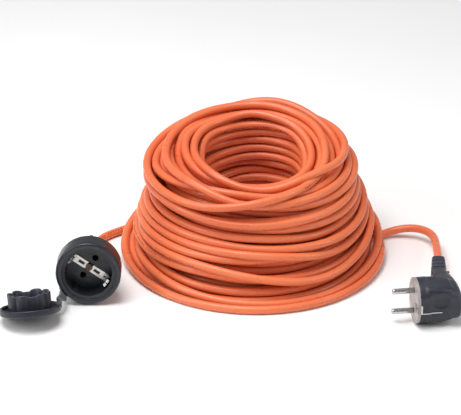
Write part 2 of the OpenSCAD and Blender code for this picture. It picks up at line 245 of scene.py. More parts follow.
SEED = 31                   # of the random draws
HOLE_R = 47.5 * MM          # to the middle of the innermost turns
HALF_WAY = 64 * MM          # between the two halves of the cable
PITCH = 7.8 * MM            # between neighbours in one layer
LAYER_RISE = 7.8 * MM
LAYERS = 12
INNER_LEAN = 5 * MM         # the hole lies towards the back
OUTER_LEAN = -4 * MM        # the outer turns lie towards the front
TOP_SHIFT = -2 * MM         # the upper turns lie to the left
BACK_LOOSENESS = 0.05       # the turns are stacked a little higher at the back
HEAP_OUTLINE = [(0, .112), (.006, .102), (.012, .102), (.040, .1010), (.050, .096),
                (.058, .089), (.075, .087), (.092, .087), (.110, .086)]     # height and radius
LOOSE_LOOPS = [(.1120, (.002, -.0060)), (.1150, (.003, -.0075))]    # radius and shift
TOP_INSIDE, TOP_OUTSIDE = .062, .089        # radii of the two topmost turns


def curve_through(points, spacing):
    """A Catmull-Rom curve through points, resampled about spacing apart."""
    p = np.array(points, float)
    p = np.concatenate([[2 * p[0] - p[1]], p, [2 * p[-1] - p[-2]]])
    t = np.linspace(0, 1, 17)[:-1, None]
    fine = []
    for a, b, c, d in zip(p[:-3], p[1:-2], p[2:-1], p[3:]):
        fine.append(0.5 * (2 * b + (c - a) * t + (2 * a - 5 * b + 4 * c - d) * t ** 2
                           + (3 * b - a - 3 * c + d) * t ** 3))
    fine = np.concatenate(fine + [p[-2:-1]])
    along = np.concatenate([[0], np.cumsum(np.linalg.norm(np.diff(fine, axis=0), axis=1))])
    at = np.linspace(0, along[-1], max(2, int(round(along[-1] / spacing))) + 1)
    return np.stack([np.interp(at, along, fine[:, k]) for k in range(3)], axis=1)


def wander(rng, n, reach):
    """A smooth random curve of unit size whose swings are about reach samples long."""
    raw = rng.standard_normal(n + 8 * reach)
    k = np.exp(-0.5 * (np.arange(-3 * reach, 3 * reach + 1) / reach) ** 2)
    return np.convolve(raw, k / np.sqrt((k ** 2).sum()), mode="same")[4 * reach:4 * reach + n]


def ease(t):
    """Rises smoothly from 0 at t = 0 to 1 at t = 1, and stays level beyond."""
    t = np.clip(t, 0, 1)
    return t * t * (3 - 2 * t)


def even_out(rows, rounds):
    """Takes the kinks out of a run of points and leaves its two ends as they are."""
    for _ in range(rounds):
        s = rows.copy()
        s[1:-1] = 0.25 * rows[:-2] + 0.5 * rows[1:-1] + 0.25 * rows[2:]
        rows = s
    return rows


def outer_radius(height):
    """How far out the heap's turns lie at a height."""
    heights, radii = zip(*HEAP_OUTLINE)
    return float(np.interp(height, heights, radii))


class Heap:
    """The turns laid so far, as discs in each plane through the coil's middle."""

    def __init__(self):
        self.r = [[] for _ in range(SLICES)]
        self.z = [[] for _ in range(SLICES)]

    def add(self, plane, r, z):
        self.r[plane % SLICES].append(r)
        self.z[plane % SLICES].append(z)

    def add_strand(self, points):
        """A stretch that already lies there."""
        for x, y, z in curve_through(points, 2 * MM):
            r = math.hypot(x, y)
            middle = int(round(math.atan2(y, x) / STEP))
            reach = int(math.ceil(CABLE_R / r / STEP))
            for k in range(-reach, reach + 1):
                self.add(middle + k, r, z)

    def rest(self, plane, radii):
        """How low the cable can lie in this plane at each of these radii."""
        low = np.full(len(radii), CABLE_R)
        if self.r[plane % SLICES]:
            looseness = 1.0 + BACK_LOOSENESS * (1 + math.sin(plane * STEP)) / 2
            apart = np.abs(radii[:, None] - np.array(self.r[plane % SLICES])[None])
            lift = looseness * np.sqrt(np.maximum(CABLE_D ** 2 - apart ** 2, 0))
            top = np.array(self.z[plane % SLICES])[None] + lift
            low = np.maximum(low, np.where(apart < 0.97 * CABLE_D, top, 0).max(axis=1))
        return low


def find_valley(heap, planes, wanted, last, least):
    """Radii near the wanted ones that let a stretch sink between the turns below it."""
    # what it costs to leave the wanted radius, and to bend; a tight turn bends less freely
    pull, stiff = 0.10, 2.2 * (0.1 / max(0.05, float(wanted.mean()))) ** 2
    height = np.array([heap.rest(j, w + SHIFTS) for j, w in zip(planes, wanted)]) / MM
    cost = height + pull * (SHIFTS / MM) ** 2
    best = cost[0] + stiff * ((wanted[0] + SHIFTS - last) / MM) ** 2
    back = []
    for i in range(1, len(planes)):
        step = ((wanted[i] + SHIFTS)[:, None] - (wanted[i - 1] + SHIFTS)[None]) / MM
        total = best[None] + stiff * step * step
        back.append(total.argmin(axis=1))
        best = cost[i] + total.min(axis=1)
    pick = [int(best.argmin())]
    for choice in reversed(back):
        pick.append(int(choice[pick[-1]]))
    r = np.maximum(wanted + SHIFTS[np.array(pick[::-1])], least)
    for _ in range(7):
        e = np.concatenate([[last], r, [r[-1]]])
        r = 0.25 * e[:-2] + 0.5 * e[1:-1] + 0.25 * e[2:]
    return r


def drape(rest, before):
    """The lowest smooth heights on or above rest, going on from the heights before."""
    floor = np.concatenate([before, rest])
    z = floor.copy()
    for _ in range(30):
        s = z.copy()
        s[1:-1] = 0.25 * z[:-2] + 0.5 * z[1:-1] + 0.25 * z[2:]
        z = np.maximum(s, floor)
    return z[len(before):]


class Winding:
    """One half of the cable as it climbs turn by turn from its first plane."""

    def __init__(self, heap, rng, start, way, turns):
        x, y, z = start
        self.heap, self.way = heap, way
        self.plane = int(round(math.atan2(y, x) / STEP))
        self.nominal = math.hypot(x, y)
        self.r, self.z, self.planes = [self.nominal], [z], [self.plane]
        n = (turns + 2) * SLICES
        # how far the turns stray from their circle, shortly and slowly
        loose = 2.4 * MM if way < 0 else 0.9 * MM      # the inner turns keep their circle
        self.wobble = wander(rng, n, 8) * 0.3 * loose
        self.drift = wander(rng, n, 40) * loose, wander(rng, n, 40) * loose
        self.rng = rng
        self.laid = 0

    def turn(self, radius, shift=(0, 0), samples=None, jog=None, begin=None):
        """Lays one turn that moves from the last nominal radius to this one.

        The move begins at the share begin of the turn and takes the share jog of it.
        """
        ahead = 20                  # samples beyond the turn's end that are looked at too
        if samples is None:
            samples = int(self.rng.integers(SLICES - 16, SLICES + 17))
        if jog is None:
            jog = 0.3 + 0.35 * self.rng.random()
        if begin is None:
            begin = (1 - jog) * self.rng.random()
        k = np.arange(samples + ahead)
        planes = self.plane + self.way * (k + 1)
        a = planes * STEP
        nominal = self.nominal + (radius - self.nominal) * ease((k / samples - begin) / jog)
        here = slice(self.laid, self.laid + samples + ahead)
        dx, dy = self.drift[0][here] + shift[0], self.drift[1][here] + shift[1]
        outward = np.clip((nominal - 0.05) / 0.055, 0, 1)       # 0 at the hole, 1 at the rim
        lean = (INNER_LEAN + (OUTER_LEAN - INNER_LEAN) * outward) * np.sin(a)
        wanted = nominal + lean + self.wobble[here] + dx * np.cos(a) + dy * np.sin(a)
        least = HOLE_R + INNER_LEAN * np.sin(a)
        wanted = np.maximum(wanted, least)
        r = find_valley(self.heap, planes, wanted, self.r[-1], least - 1.2 * MM)
        rest = np.array([self.heap.rest(j, np.array([q]))[0] for j, q in zip(planes, r)])
        z = drape(rest, np.array(self.z[-8:]))
        for j, q, h in zip(planes[:samples], r, z):
            self.r.append(float(q))
            self.z.append(float(h))
            self.planes.append(int(j))
            self.heap.add(int(j), q, h)
        self.plane += self.way * samples
        self.nominal = radius
        self.laid += samples

    def points(self):
        a = np.array(self.planes) * STEP
        r, z = even_out(np.c_[self.r, self.z], 6).T
        return np.c_[r * np.cos(a), r * np.sin(a), z]


def layer_radii(layer):
    """Nominal radii of one layer's turns, for the outer and the inner half of the cable."""
    edge = outer_radius(layer * LAYER_RISE)
    n = max(1, int(round((edge - HALF_WAY) / PITCH)))
    inset = 0.1 + 0.4 * (layer % 2)
    outer = list(np.linspace(HALF_WAY + inset * PITCH, edge - 0.3 * (layer % 2) * PITCH, n))
    inner = list(np.linspace(HOLE_R + 0.4 * (layer % 2) * PITCH, HALF_WAY - 0.5 * PITCH,
                             3 if layer % 3 == 0 else 2))
    if layer % 2 == 0:
        outer.reverse()
    else:
        inner.reverse()
    return outer, inner


def wind():
    """The whole cable's path, from the coupler's tail to the plug's neck."""
    rng = np.random.default_rng(SEED)
    heap = Heap()
    heap.add_strand(COUPLER_ROUTE[-3:] + COUPLER_ENTRY)
    heap.add_strand(PLUG_ROUTE[-4:] + PLUG_ENTRY)
    outer = Winding(heap, rng, COUPLER_ENTRY[-1], -1, 8 * LAYERS)
    inner = Winding(heap, rng, PLUG_ENTRY[-1], 1, 3 * LAYERS)
    for layer in range(LAYERS):
        out_radii, in_radii = layer_radii(layer)
        if layer == 0:
            out_radii = out_radii[2:]       # the leads come in where the outermost turns would be
        to_left = TOP_SHIFT * float(ease((layer * LAYER_RISE - 0.050) / 0.020))
        for radius in out_radii:
            outer.turn(radius, shift=(to_left, 0))
        if layer == 1:
            # loose loops that have slipped off onto the ground
            for radius, shift in LOOSE_LOOPS:
                outer.turn(radius, shift=shift, samples=SLICES)
        for radius in in_radii:
            inner.turn(radius)
    # the top turns: one runs inside, crosses the front to the outer edge and goes round it
    outer.turn(TOP_INSIDE, shift=(TOP_SHIFT, 0))
    to_right = outer.plane % SLICES / SLICES     # of a turn, clockwise
    whole, crossing = to_right + 0.6, 0.27       # of a turn
    outer.turn(TOP_OUTSIDE, shift=(TOP_SHIFT, 0), samples=int(SLICES * whole),
               begin=to_right / whole, jog=crossing / whole)
    # the last stretch crosses the heap and goes down to meet the inner half
    quarter = SLICES // 4
    gap = (outer.plane - inner.plane - quarter) % SLICES + quarter
    outer.turn(inner.nominal, samples=gap - 3, begin=0.0, jog=1.0)
    tail = outer.points()
    head = inner.points()[::-1]
    bridge = curve_through([tail[-6], tail[-1], head[5], head[10]], 6 * MM)
    lead = curve_through(COUPLER_ROUTE + COUPLER_ENTRY, 5 * MM)
    end = curve_through(PLUG_ROUTE + PLUG_ENTRY, 5 * MM)[::-1]
    path = np.concatenate([lead[:-1], tail[:-6], bridge, head[11:-1], end])
    path = even_out(path, 3)
    path[:, 2] = np.maximum(path[:, 2], CABLE_R)
    return path


def sweep(name, path, radius, sides):
    """A tube along path with its length and its angle kept as attributes."""
    t = np.gradient(path, axis=0)
    t /= np.linalg.norm(t, axis=1)[:, None]
    side = np.cross(t, [0, 0, 1])
    side /= np.linalg.norm(side, axis=1)[:, None]
    lift = np.cross(side, t)
    a = 2 * math.pi * np.arange(sides) / sides
    rings = (path[:, None] + radius * (np.cos(a)[None, :, None] * side[:, None]
                                       + np.sin(a)[None, :, None] * lift[:, None]))
    n = len(path)
    k = np.arange(sides)
    i = np.arange(n - 1)[:, None] * sides
    quads = np.stack([i + k, i + (k + 1) % sides, i + sides + (k + 1) % sides, i + sides + k], -1)
    faces = quads.reshape(-1, 4).tolist() + [k[::-1].tolist(), (k + (n - 1) * sides).tolist()]
    obj = add_object(name, rings.reshape(-1, 3), faces)
    along = np.concatenate([[0], np.cumsum(np.linalg.norm(np.diff(path, axis=0), axis=1))])
    for label, values in (("along", np.repeat(along, sides)),
                          ("ring_x", np.tile(np.cos(a), n)), ("ring_y", np.tile(np.sin(a), n))):
        layer = obj.data.attributes.new(label, "FLOAT", "POINT")
        layer.data.foreach_set("value", values)
    return obj


cable_path = wind() + COIL_AT
cable = sweep("cable", cable_path, CABLE_R, 14)
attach(cable, "root")
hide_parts("cable_lead_coupler", "cable_coil", "cable_lead_plug")


# ---- Materials ----

class Nodes:
    """A short way to build one material's nodes."""

    def __init__(self, name):
        self.material = bpy.data.materials.new(name)
        self.material.use_nodes = True
        self.tree = self.material.node_tree
        self.tree.nodes.clear()
        output = self.tree.nodes.new("ShaderNodeOutputMaterial")
        self.shader = self.tree.nodes.new("ShaderNodeBsdfPrincipled")
        self.link(self.shader.outputs["BSDF"], output.inputs["Surface"])
        self.place = self.tree.nodes.new("ShaderNodeTexCoord").outputs["Object"]

    def link(self, a, b):
        self.tree.links.new(a, b)

    def put(self, socket, value):
        if isinstance(value, bpy.types.NodeSocket):
            self.link(value, socket)
        else:
            socket.default_value = value

    def noise(self, scale, detail, rough=0.55, stretch=None):
        node = self.tree.nodes.new("ShaderNodeTexNoise")
        node.inputs["Scale"].default_value = scale
        node.inputs["Detail"].default_value = detail
        node.inputs["Roughness"].default_value = rough
        source = self.place
        if stretch:
            mapping = self.tree.nodes.new("ShaderNodeMapping")
            mapping.inputs["Scale"].default_value = stretch
            self.link(self.place, mapping.inputs["Vector"])
            source = mapping.outputs["Vector"]
        self.link(source, node.inputs["Vector"])
        return node.outputs["Fac"]

    def math(self, operation, a, b=0.0, c=0.0):
        node = self.tree.nodes.new("ShaderNodeMath")
        node.operation = operation
        for socket, value in zip(node.inputs, (a, b, c)):
            self.put(socket, value)
        return node.outputs["Value"]

    def span(self, value, low, high, to_low=0.0, to_high=1.0):
        node = self.tree.nodes.new("ShaderNodeMapRange")
        node.interpolation_type = "SMOOTHSTEP"
        for label, v in (("Value", value), ("From Min", low), ("From Max", high),
                         ("To Min", to_low), ("To Max", to_high)):
            self.put(node.inputs[label], v)
        return node.outputs["Result"]

    def mix(self, factor, a, b):
        node = self.tree.nodes.new("ShaderNodeMix")
        node.data_type = "RGBA"
        self.put(node.inputs["Factor"], factor)
        self.put(node.inputs["A"], a if isinstance(a, bpy.types.NodeSocket) else (*a, 1))
        self.put(node.inputs["B"], b if isinstance(b, bpy.types.NodeSocket) else (*b, 1))
        return node.outputs["Result"]

    def attribute(self, name):
        node = self.tree.nodes.new("ShaderNodeAttribute")
        node.attribute_name = name
        return node.outputs["Fac"]

    def edges(self):
        """High on worn edges and low in creases, from the angle between near faces."""
        node = self.tree.nodes.new("ShaderNodeNewGeometry")
        return node.outputs["Pointiness"]

    def bump(self, height, strength, distance):
        node = self.tree.nodes.new("ShaderNodeBump")
        node.inputs["Strength"].default_value = strength
        node.inputs["Distance"].default_value = distance
        self.link(height, node.inputs["Height"])
        self.link(node.outputs["Normal"], self.shader.inputs["Normal"])

    def set(self, **values):
        for label, value in values.items():
            self.put(self.shader.inputs[label.replace("_", " ")], value)


def cable_sheath():
    """Satin orange sheath with faint draw lines, dust and a row of plain dark dashes."""
    n = Nodes("cable_sheath")
    along = n.attribute("along")
    ring_x, ring_y = n.attribute("ring_x"), n.attribute("ring_y")
    tone = n.mix(n.span(n.noise(9, 2), 0.3, 0.7), (0.73, 0.148, 0.054), (0.82, 0.195, 0.074))
    dust = n.span(n.noise(260, 5, 0.7), 0.52, 0.78, 0.0, 0.22)
    tone = n.mix(dust, tone, (0.82, 0.34, 0.20))
    # dashes of printed ink in one line along the cable, which slowly twists
    twist = n.math("ADD", n.math("MULTIPLY", along, 1.7), 1.0)
    facing = n.math("MULTIPLY", ring_x, n.math("COSINE", twist))
    facing = n.math("MULTIPLY_ADD", ring_y, n.math("SINE", twist), facing)
    band = n.math("GREATER_THAN", facing, math.cos(0.24))
    beat = n.math("LESS_THAN", n.math("FRACT", n.math("MULTIPLY", along, 330)), 0.62)
    group = n.math("LESS_THAN", n.math("FRACT", n.math("MULTIPLY", along, 47)), 0.78)
    run = n.math("LESS_THAN", n.math("FRACT", n.math("MULTIPLY", along, 1.6)), 0.20)
    ink = n.math("MULTIPLY", n.math("MULTIPLY", band, beat), n.math("MULTIPLY", group, run))
    ink = n.math("MULTIPLY", ink, n.span(n.noise(700, 2), 0.35, 0.5, 0.35, 0.85))
    tone = n.mix(ink, tone, (0.045, 0.02, 0.02))
    n.set(Base_Color=tone, Roughness=n.span(n.noise(120, 4), 0.3, 0.7, 0.26, 0.42))
    lines = n.math("SINE", n.math("MULTIPLY", n.math("ARCTAN2", ring_y, ring_x), 26.0))
    height = n.math("MULTIPLY_ADD", lines, 0.12, n.noise(1500, 3))
    n.bump(height, 0.25, 0.05 * MM)
    n.shader.inputs["Specular IOR Level"].default_value = 0.5
    return n.material


def moulded_rubber(name, dark, light, rough, grain=0.35):
    """Moulded rubber: mottled bloom, rubbed edges, dust and a fine grain."""
    n = Nodes(name)
    tone = n.mix(n.span(n.noise(60, 4), 0.35, 0.7), dark, light)
    worn = n.span(n.edges(), 0.51, 0.60, 0.0, 0.55)
    tone = n.mix(worn, tone, tuple(min(1, 2.6 * c) for c in light))
    dust = n.span(n.noise(420, 5, 0.7), 0.60, 0.85, 0.0, 0.5)
    tone = n.mix(dust, tone, (0.17, 0.17, 0.18))
    n.set(Base_Color=tone, Roughness=n.span(n.noise(150, 4), 0.3, 0.7, *rough))
    n.bump(n.noise(2600, 2, 0.6), grain, 0.04 * MM)
    n.shader.inputs["Specular IOR Level"].default_value = 0.5
    return n.material


def moulded_plastic(name, dark, light):
    """Hard moulded plastic with soft flow marks, small pits and a little dust."""
    n = Nodes(name)
    flow = n.noise(30, 3, 0.5, stretch=(1, 1, 3))
    tone = n.mix(n.span(flow, 0.35, 0.65), dark, light)
    dust = n.span(n.noise(500, 5, 0.7), 0.62, 0.85, 0.0, 0.35)
    tone = n.mix(dust, tone, tuple(0.5 * c + 0.12 for c in light))
    n.set(Base_Color=tone, Roughness=n.span(n.noise(220, 3), 0.3, 0.7, 0.3, 0.45))
    n.bump(n.noise(1800, 2), 0.2, 0.03 * MM)
    return n.material


def metal(name, colour, tarnish, rough, stretch):
    """Plated or bare metal with drawn scratches, a patchy tarnish and darker creases."""
    n = Nodes(name)
    patch = n.span(n.noise(180, 5, 0.65), 0.48, 0.75, 0.0, 0.8)
    tone = n.mix(patch, colour, tarnish)
    crease = n.span(n.edges(), 0.40, 0.49, 0.7, 0.0)
    tone = n.mix(crease, tone, tuple(0.4 * c for c in tarnish))
    scratch = n.noise(300, 3, 0.6, stretch=stretch)
    n.set(Base_Color=tone, Roughness=n.span(scratch, 0.3, 0.7, *rough))
    n.bump(scratch, 0.25, 0.02 * MM)
    n.shader.inputs["Metallic"].default_value = 1.0
    return n.material


def core_insulation(name, colour, stripe=None):
    """Glossy core insulation, the earth core with a lengthwise yellow stripe."""
    n = Nodes(name)
    tone = n.mix(n.span(n.noise(240, 3), 0.3, 0.7), colour, tuple(0.8 * c for c in colour))
    if stripe:
        wave = n.noise(260, 0, 0.5, stretch=(1, 1, 0.05))
        tone = n.mix(n.span(wave, 0.48, 0.52), tone, stripe)
    n.set(Base_Color=tone, Roughness=n.span(n.noise(400, 2), 0.3, 0.7, 0.25, 0.4))
    n.bump(n.noise(1500, 2), 0.15, 0.02 * MM)
    return n.material


SHEATH = cable_sheath()
RUBBER = moulded_rubber("coupler_rubber", (0.010, 0.011, 0.016), (0.018, 0.020, 0.028),
                        rough=(0.24, 0.38), grain=0.25)
CAP_RUBBER = moulded_rubber("cap_rubber", (0.011, 0.013, 0.021), (0.021, 0.025, 0.037),
                            rough=(0.34, 0.5))
# painted reflection: the strap's black rubber is coloured a light grey that stands for the grazing
# reflection on its upper side
STRAP_SHEEN_RUBBER = moulded_rubber("strap_rubber_painted_sheen", (0.06, 0.065, 0.075), (0.12, 0.125, 0.135),
                              rough=(0.38, 0.55))
PLUG_RUBBER = moulded_rubber("plug_rubber", (0.018, 0.021, 0.032), (0.033, 0.038, 0.052),
                             rough=(0.32, 0.5))
BLACK_PLASTIC = moulded_plastic("insert_plastic", (0.009, 0.010, 0.014), (0.016, 0.018, 0.024))
GREY_PLASTIC = moulded_plastic("carrier_plastic", (0.29, 0.265, 0.255), (0.40, 0.370, 0.355))
NICKEL = metal("nickel_plate", (0.56, 0.55, 0.54), (0.34, 0.31, 0.29), (0.20, 0.38), (1, 1, 14))
PIN_NICKEL = metal("pin_nickel", (0.58, 0.57, 0.56), (0.36, 0.34, 0.33), (0.16, 0.30), (14, 1, 1))
BRONZE = metal("screw_bronze", (0.11, 0.075, 0.06), (0.05, 0.035, 0.03), (0.30, 0.50), (5, 5, 1))
STEEL = metal("screw_steel", (0.50, 0.47, 0.45), (0.26, 0.20, 0.16), (0.28, 0.45), (5, 5, 1))
# painted shade: the brass is darkened far below bright brass so the contacts deep in the socket's
# bores read as shade
BRASS_PAINTED_SHADE = metal("brass", (0.12, 0.085, 0.045), (0.05, 0.035, 0.02), (0.32, 0.5), (1, 12, 1))
BROWN = core_insulation("core_brown", (0.16, 0.055, 0.02))
BLUE = core_insulation("core_blue", (0.03, 0.11, 0.45))
GREEN = core_insulation("core_green_yellow", (0.10, 0.38, 0.04), stripe=(0.85, 0.72, 0.04))

NODE_MATERIALS = {
    "coupler_insert": BLACK_PLASTIC, "coupler_clamp_bar": BLACK_PLASTIC,
    "contact_live": BRASS_PAINTED_SHADE, "contact_neutral": BRASS_PAINTED_SHADE, "earth_terminal": BRASS_PAINTED_SHADE,
    "terminal_screws": STEEL, "earth_screw": BRONZE, "coupler_clamp_screws": STEEL,
    "coupler_core_live": BROWN, "coupler_core_neutral": BLUE, "coupler_core_earth": GREEN,
    "coupler_sheath_end": SHEATH, "plug_sheath_end": SHEATH,
    "plug_face": GREY_PLASTIC, "plug_crimps": BRASS_PAINTED_SHADE, "plug_earth_clip": PIN_NICKEL,
    "plug_earth_tube": NICKEL, "plug_core_live": BROWN, "plug_core_neutral": BLUE,
    "plug_core_earth": GREEN, "plug_cord_clamp": PLUG_RUBBER,
    "coupler_shell": RUBBER, "coupler_strain_relief": RUBBER, "earth_bridge": NICKEL,
    "cap": CAP_RUBBER, "cap_tether": STRAP_SHEEN_RUBBER, "cap_strap": STRAP_SHEEN_RUBBER,
    "cable_lead_coupler": SHEATH, "cable_coil": SHEATH, "cable_lead_plug": SHEATH,
    "plug_body": PLUG_RUBBER, "plug_strain_relief": PLUG_RUBBER,
    "pin_live": PIN_NICKEL, "pin_neutral": PIN_NICKEL,
}


def dress(obj, material):
    """Gives every face of an object the one material."""
    obj.data.materials.clear()
    obj.data.materials.append(material)


for node, material in NODE_MATERIALS.items():
    for material_slot in frame["nodes"][node].material_slots:
        material_slot.material = material
dress(cable, SHEATH)


def finish_piece(obj, material, slot_name, body, *nodes):
    """Material, body and the CAD nodes that a piece stands for; slot_name is not used."""
    dress(obj, material)
    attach(obj, body)
    if nodes:
        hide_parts(*nodes)
    return obj


# ---- Coupler ----

def coupler_shell():
    """Straight head, necked cone with finger grooves and a rolled rear lip."""
    outline = [(23.4, 0.0), (23.5, 0.15)]
    outline += arc(26.2, -1.6, 1.8, 100, 0, 8)
    outline += [(28, -6), (28, -12), (28, -17)]
    outline += arc(25, -18, 3, 0, -50, 5)
    outline += [(25.6, -23.2), (24, -26), (22.2, -29), (20.4, -33.5), (18.6, -39), (17.2, -43),
                (15, -47.5), (13.2, -51.5), (12.4, -54)]
    outline += arc(10.2, -56.8, 1.2, 20, -90, 5)
    outline += [(8.9, -58), (8.9, -53), (10.8, -53), (10.8, -47), (15.2, -43), (15.2, -21.2),
                (23.4, -21.2), (23.4, -10)]

    def grooved(r, z, a):
        if r < 16 or not -54 < z < -24:
            return r
        depth = 1.5 * math.exp(-((z + 39) / 8) ** 2)
        return r - depth * max(0.0, math.cos(12 * a)) ** 3

    return add_object("coupler_body", *lathe(outline, 144, grooved), matrix=COUPLER)


def relief_path():
    """Middle line of the coupler's strain relief: straight, then drooping to the ground."""
    bend_r, bend = 48, 35
    line = [(0, 0, -z) for z in (53.3, 55, 57, 59)]
    line += [(0, bend_r * (math.cos(a) - 1), -60 - bend_r * math.sin(a))
             for a in np.radians(np.linspace(0, bend, 46))]
    return np.array(line, float) * MM


def coupler_relief():
    """Ribbed tail: a collar, then rings that shrink towards the cable."""
    line = relief_path()
    along = np.concatenate([[0], np.cumsum(np.linalg.norm(np.diff(line, axis=0), axis=1))]) / MM
    rings = []
    for p, t, s in zip(line, np.gradient(line, axis=0), along):
        t = t / np.linalg.norm(t)
        side = np.array([1.0, 0, 0])
        lift = np.cross(t, side)
        phase = (s - 6.8) / 4.9
        if phase < 0:
            radius = 8.7
        else:
            base = 7.7 - 0.42 * phase
            radius = base - 1.1 * float(ease((phase % 1 - 0.62) / 0.12) * ease((1 - phase % 1) / 0.12))
        a = 2 * math.pi * np.arange(40) / 40
        rings.append(p + radius * MM * (np.cos(a)[:, None] * side + np.sin(a)[:, None] * lift))
    lug = np.array([(x, y, z) for z in (-59.4, -58.2) for x, y in
                    ((-1.6, 6), (1.6, 6), (1.4, 12.2), (0.7, 12.6), (-0.7, 12.6), (-1.4, 12.2))])
    verts, faces = loft(rings)
    more, lug_faces = loft([lug[:6] * MM, lug[6:] * MM])
    faces = faces + [tuple(i + len(verts) for i in f) for f in lug_faces]
    obj = add_object("coupler_tail", np.concatenate([verts, more]), faces, matrix=COUPLER)
    bevel(obj, 0.25 * MM)
    return obj


finish_piece(coupler_shell(), RUBBER, "coupler_rubber", "root", "coupler_shell")
finish_piece(coupler_relief(), RUBBER, "coupler_rubber", "root", "coupler_strain_relief")


def strip_solid(path, thick, half_width):
    """A bent metal strip along (y, z) points in mm, as rings across its width."""
    p = np.array(path, float)
    d = np.gradient(p, axis=0)
    n = np.stack([-d[:, 1], d[:, 0]], axis=1) / np.linalg.norm(d, axis=1)[:, None]
    rings = []
    for q, m in zip(p, n):
        a, b = q + m * thick / 2, q - m * thick / 2
        rings.append([(-half_width * MM, a[0] * MM, a[1] * MM),
                      (half_width * MM, a[0] * MM, a[1] * MM),
                      (half_width * MM, b[0] * MM, b[1] * MM),
                      (-half_width * MM, b[0] * MM, b[1] * MM)])
    return loft(rings)


def join(parts):
    """Several (points, faces) sets as one."""
    verts, faces, count = [], [], 0
    for v, f in parts:
        verts.append(np.asarray(v, float))
        faces += [tuple(i + count for i in face) for face in f]
        count += len(v)
    return np.concatenate(verts), faces


def box_solid(x0, x1, y0, y1, z0, z1):
    """A block in mm."""
    ring = [(x0, y0), (x1, y0), (x1, y1), (x0, y1)]
    return loft([[(x * MM, y * MM, z * MM) for x, y in ring] for z in (z0, z1)])


def earth_bridge():
    """Strip across the socket's floor with two windows, and a folded spring at each end."""
    floor, thick = -17.4, 0.95
    half, window = 3.5, 1.15            # half widths of the strip and of its windows
    parts = []
    for side in (-1, 1):
        # two rails and two cross bars leave the window between them
        for x0, x1 in ((-half, -window), (window, half)):
            parts.append(box_solid(x0, x1, *sorted((side * 2.6, side * 14.8)),
                                   floor, floor + thick))
        for near, far in ((2.4, 4.9), (10.6, 14.9)):
            parts.append(box_solid(-half, half, *sorted((side * near, side * far)),
                                   floor + 0.02, floor + thick - 0.02))
        spring = [(14.2, floor + 0.5), (16.2, floor + 0.5), (17.9, floor + 1.2), (19.0, floor + 2.6),
                  (19.6, -13.2), (19.6, -11.8), (19.0, -10.6), (17.6, -9.4), (16.95, -8.3),
                  (16.9, -7.2), (17.4, -6.2), (18.4, -5.3), (19.3, -4.6)]
        for x0, x1 in ((-3.4, -0.35), (0.35, 3.4)):
            v, f = strip_solid([(side * y, z) for y, z in spring], 0.7, (x1 - x0) / 2)
            parts.append((v + np.array([(x0 + x1) / 2 * MM, 0, 0]), f))
    verts, faces = join(parts)
    obj = add_object("earth_strip", verts, faces, matrix=SOCKET, smooth=False)
    bevel(obj, 0.16 * MM)
    return obj


finish_piece(earth_bridge(), NICKEL, "nickel", "root", "earth_bridge")


# ---- Splash cap and its strap ----

def cap_plate():
    """Round plate with a rolled skirt and a shallow step on its outer side."""
    top = 7.5
    inner_face = [(r, 5.2) for r in (0.6, 2, 4, 7, 10, 13, 16, 20)]
    outline = [(0.02, 5.2)] + inner_face + [(23.2, 5.0)]
    outline += arc(23.3, 4.3, 0.8, 90, 0, 3)
    outline += [(24.1, 2.4)] + arc(25.15, 2.45, 1.05, 180, 360, 8)
    outline += [(26.2, 3.2), (26.2, 5.2)]
    outline += arc(24.4, 5.7, 1.8, 0, 90, 6)
    outline += [(22.6, top), (21.6, top - 0.5)]
    outline += [(r, top - 0.5) for r in (19, 16, 13, 10, 7, 4, 2, 0.6, 0.02)]
    return lathe(outline, 120)


def lobe(a):
    """0 in the valleys between the collar's round lobes and 1 on their crowns."""
    # the collar is turned to fit between the socket's earth springs
    roll = math.atan2(pin_line.dot(COUPLER.to_3x3().col[1]), pin_line.x)
    turn = (a - roll) % math.pi
    wide = math.radians(12)             # half width of the valley for an earth spring
    if abs(turn - math.pi / 2) < wide:
        return 0.0
    near = turn if turn < math.pi / 2 else math.pi - turn
    return abs(math.sin(2 * math.pi * near / (math.pi / 2 - wide))) ** 0.5


def cap_collar():
    """Collar of round lobes with deep valleys between them and a wavy rim."""
    rings = []
    for k in range(240):
        a = 2 * math.pi * k / 240
        crown = lobe(a)
        r = 15.9 + 2.8 * crown
        tip = -8.8 - 1.8 * crown
        section = [(r + 0.3, 5.4), (r, 2), (r, -2), (r - 0.05, tip + 0.5), (r - 0.4, tip),
                   (r - 1.2, tip), (r - 1.6, tip + 0.5), (r - 1.7, -2), (r - 1.8, 5.4)]
        rings.append([(q * math.cos(a) * MM, q * math.sin(a) * MM, z * MM) for q, z in section])
    return loft(rings, closed=True)


cap = add_object("splash_cap", *join([cap_plate(), cap_collar()]), matrix=CAP)
finish_piece(cap, CAP_RUBBER, "cap_rubber", "cap", "cap")

STRAP_ANGLE = math.radians(221)
STRAP_HALF = math.radians(8)


def sector(r0, r1, half, z0, z1, grow=0.0):
    """A curved slab round the coupler's axis at the strap's angle."""
    rings = []
    for z in (z0, z1):
        ring = [(r1, a) for a in np.linspace(-half - grow, half + grow, 9)]
        ring += [(r0, a) for a in np.linspace(half + grow, -half - grow, 9)]
        rings.append([(r * math.cos(STRAP_ANGLE + a) * MM, r * math.sin(STRAP_ANGLE + a) * MM,
                       z * MM) for r, a in ring])
    return loft(rings)


def strap_point(matrix, r, z):
    return matrix @ Vector((r * math.cos(STRAP_ANGLE) * MM, r * math.sin(STRAP_ANGLE) * MM, z * MM))


def strap_place(matrix, r, z):
    """Where the strap's band ends, the way it runs there and the way it is wide."""
    turned = matrix.to_3x3()
    tangent = Vector((-math.sin(STRAP_ANGLE), math.cos(STRAP_ANGLE), 0))
    return strap_point(matrix, r, z), (turned @ UP).normalized(), (turned @ tangent).normalized()


